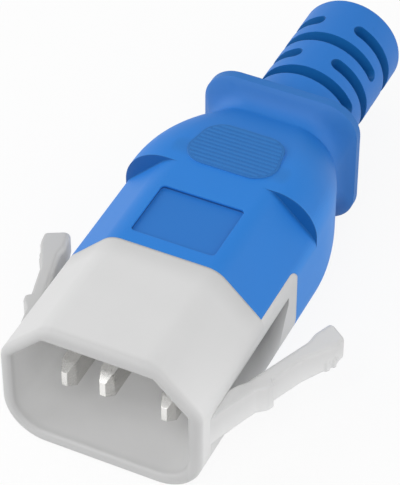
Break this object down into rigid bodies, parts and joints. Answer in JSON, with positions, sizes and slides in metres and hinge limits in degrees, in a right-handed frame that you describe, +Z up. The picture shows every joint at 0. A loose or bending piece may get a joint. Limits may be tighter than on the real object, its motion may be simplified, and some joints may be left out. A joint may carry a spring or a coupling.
{
  "type": "locking power cord plug",
  "caption": "Moulded locking plug end of a power cord: bevelled shroud round flat blades, sprung latch arms at its sides, waisted grip, flange and slotted cord relief.",
  "frame": {"origin": "middle of the mouth, on the plane of the shroud's front edge", "axes": "+Y back along the plug to the cord, +Z up on the side with the bevels and the label place, +X to the right when looking along +Y"},
  "size_m": [0.0433, 0.0806, 0.0209],
  "materials": {
    "white_plastic": "fine matte moulding",
    "blue_plastic": "satin soft moulding",
    "blade_metal": "nickel plated, satin"
  },
  "bodies": {
    "plug": {"insert": "white_plastic", "overmould": "blue_plastic", "line_blade": "blade_metal", "neutral_blade": "blade_metal", "earth_blade": "blade_metal"},
    "right_latch": {"right_latch_arm": "white_plastic"},
    "left_latch": {"left_latch_arm": "white_plastic"}
  },
  "joints": [
    {"name": "right_latch_squeeze", "type": "hinge", "parent": "plug", "child": "right_latch", "pos_m": [0.01457, 0.00679, -0.0011], "axis": [0, 0, 1], "range_deg": [0, 16.5], "stiffness_Nm_per_rad": 0.3},
    {"name": "left_latch_squeeze", "type": "hinge", "parent": "plug", "child": "left_latch", "pos_m": [-0.01413, 0.00686, -0.0011], "axis": [0, 0, -1], "range_deg": [0, 8], "stiffness_Nm_per_rad": 0.3}
  ]
}
